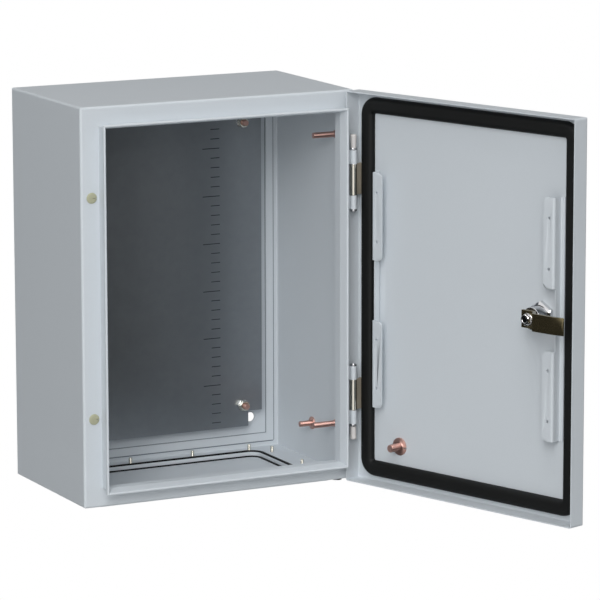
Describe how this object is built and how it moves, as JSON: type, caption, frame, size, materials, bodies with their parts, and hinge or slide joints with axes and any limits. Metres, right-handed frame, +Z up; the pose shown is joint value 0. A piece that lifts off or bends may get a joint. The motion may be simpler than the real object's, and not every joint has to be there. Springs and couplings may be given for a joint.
{
  "type": "wall-mounted electrical enclosure",
  "caption": "Light grey sheet-steel wall enclosure with a hinged gasketed door, cam lock, mounting plate and bottom gland plate.",
  "frame": {"origin": "centre of the four wall-fixing holes, on the back plane of the cabinet", "axes": "+X to the right seen from the front, -Y towards the front, +Z up"},
  "size_m": [0.4024, 0.4653, 0.406],
  "materials": {
    "paint": "fine-textured light grey powder coat",
    "zinc_plate": "galvanised sheet, dark reflective",
    "zinc": "zinc plated",
    "copper": "copper-plated steel",
    "nickel": "nickel plated",
    "chrome": "bright chrome",
    "die_cast": "die-cast zinc",
    "passivated": "olive passivated zinc",
    "foam": "black foamed polyurethane",
    "plug": "satin cream plastic",
    "cap": "satin grey plastic"
  },
  "bodies": {
    "cabinet": {"cabinet_wrap": "paint", "back_panel": "paint", "mounting_plate": "zinc_plate", "plate_studs": "copper", "plate_spacers": "zinc", "plate_washers": "zinc", "plate_nuts": "passivated", "gland_plate": "paint", "gland_gasket": "foam", "gland_screws": "zinc", "bond_bolt": "zinc", "bond_washer": "zinc", "bond_nut": "zinc", "cabinet_earth_stud": "copper", "side_studs": "copper", "hole_plugs": "plug", "upper_hinge_knuckles": "paint", "lower_hinge_knuckles": "paint", "upper_hinge_pin": "nickel", "lower_hinge_pin": "nickel", "upper_pin_cap": "cap", "lower_pin_cap": "cap", "pin_clips": "nickel"},
    "door": {"door_tray": "paint", "door_gasket": "foam", "hinge_side_rail": "paint", "lock_side_rail": "paint", "door_earth_stud": "copper", "upper_hinge_leaf": "nickel", "lower_hinge_leaf": "nickel", "lock_housing": "chrome", "lock_seal": "foam", "lock_nut": "chrome"},
    "lock": {"lock_core": "die_cast", "lock_cam": "passivated", "cam_washer": "chrome", "cam_bolt": "chrome"}
  },
  "joints": [
    {"name": "door_hinge", "type": "hinge", "parent": "cabinet", "child": "door", "pos_m": [0.143, -0.1845, 0], "axis": [0, 0, 1], "range_deg": [-109, 10]},
    {"name": "lock_turn", "type": "hinge", "parent": "door", "child": "lock", "pos_m": [0.23433, -0.40582, 0], "axis": [-0.9455, -0.3256, 0], "range_deg": [0, 90]}
  ]
}
